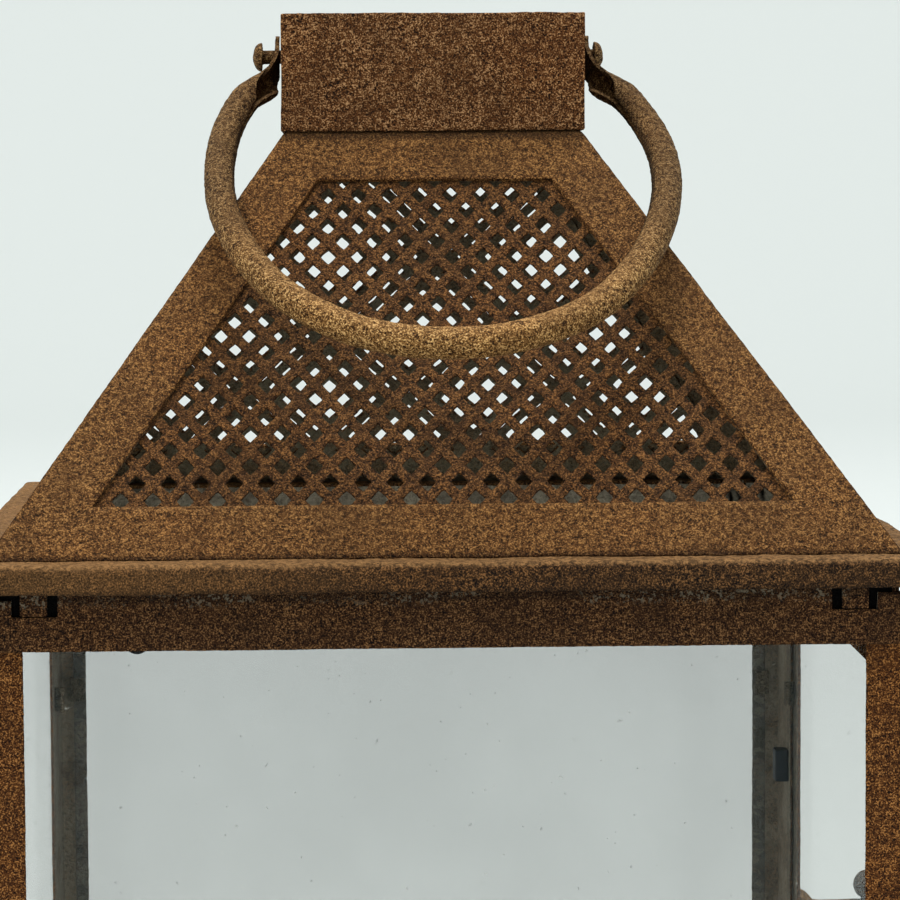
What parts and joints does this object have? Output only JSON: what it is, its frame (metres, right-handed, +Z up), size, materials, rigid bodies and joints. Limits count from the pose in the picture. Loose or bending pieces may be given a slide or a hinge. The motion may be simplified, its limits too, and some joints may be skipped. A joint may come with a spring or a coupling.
{
  "type": "hanging lantern",
  "caption": "Square glazed sheet-metal lantern with a hinged side door, pierced pyramid roof, square collar and swinging bail.",
  "frame": {"origin": "centre of the base tray's flat underside", "axes": "+Z up, -Y the front, +X the side with the door"},
  "size_m": [0.2912, 0.27, 0.46],
  "materials": {
    "rust_paint": "grainy rust-brown paint",
    "rust_paint_dark": "grainy dark rust-brown paint",
    "rust_paint_light": "grainy tan rust paint, rubbed",
    "glass": "clear, lightly dusty",
    "black_rubber": "satin",
    "magnet": "satin black"
  },
  "bodies": {
    "lantern": {"base_tray": "rust_paint_dark", "post_front_left": "rust_paint", "post_front_right": "rust_paint", "post_back_right": "rust_paint", "post_back_left": "rust_paint", "bottom_rail_front": "rust_paint", "bottom_rail_right": "rust_paint", "bottom_rail_back": "rust_paint", "bottom_rail_left": "rust_paint", "top_rail_front": "rust_paint_dark", "top_rail_right": "rust_paint_dark", "top_rail_back": "rust_paint_dark", "top_rail_left": "rust_paint_dark", "pane_front": "glass", "pane_back": "glass", "pane_left": "glass", "pane_clips": "rust_paint_dark", "pane_dots": "black_rubber", "corner_gussets": "rust_paint_dark", "eave_front": "rust_paint", "eave_right": "rust_paint", "eave_back": "rust_paint", "eave_left": "rust_paint", "roof_tabs": "rust_paint_dark", "roof_panel_front": "rust_paint", "roof_panel_right": "rust_paint", "roof_panel_back": "rust_paint", "roof_panel_left": "rust_paint", "roof_grille_front": "rust_paint_dark", "roof_grille_right": "rust_paint_dark", "roof_grille_back": "rust_paint_dark", "roof_grille_left": "rust_paint_dark", "collar": "rust_paint_dark", "collar_cap": "rust_paint_dark", "bail_rivets": "rust_paint_light", "door_magnet": "magnet", "hinge_leaf_post_upper": "rust_paint_dark", "hinge_leaf_post_lower": "rust_paint_dark", "hinge_pin_upper": "rust_paint_light", "hinge_pin_lower": "rust_paint_light", "hinge_rivets_post": "rust_paint_light"},
    "bail": {"bail": "rust_paint_light"},
    "door": {"door_hinge_stile": "rust_paint", "door_latch_stile": "rust_paint", "door_top_rail": "rust_paint", "door_bottom_rail": "rust_paint", "door_pane": "glass", "door_clips": "rust_paint_dark", "door_knob": "rust_paint_light", "hinge_leaf_door_upper": "rust_paint_dark", "hinge_leaf_door_lower": "rust_paint_dark", "hinge_rivets_door": "rust_paint_light"}
  },
  "joints": [
    {"name": "bail_swing", "type": "hinge", "parent": "lantern", "child": "bail", "pos_m": [0, 0, 0.449], "axis": [-1, 0, 0], "range_deg": [0, 250]},
    {"name": "door_swing", "type": "hinge", "parent": "lantern", "child": "door", "pos_m": [0.127, -0.113, 0.156], "axis": [0, 0, -1], "range_deg": [0, 110]}
  ]
}
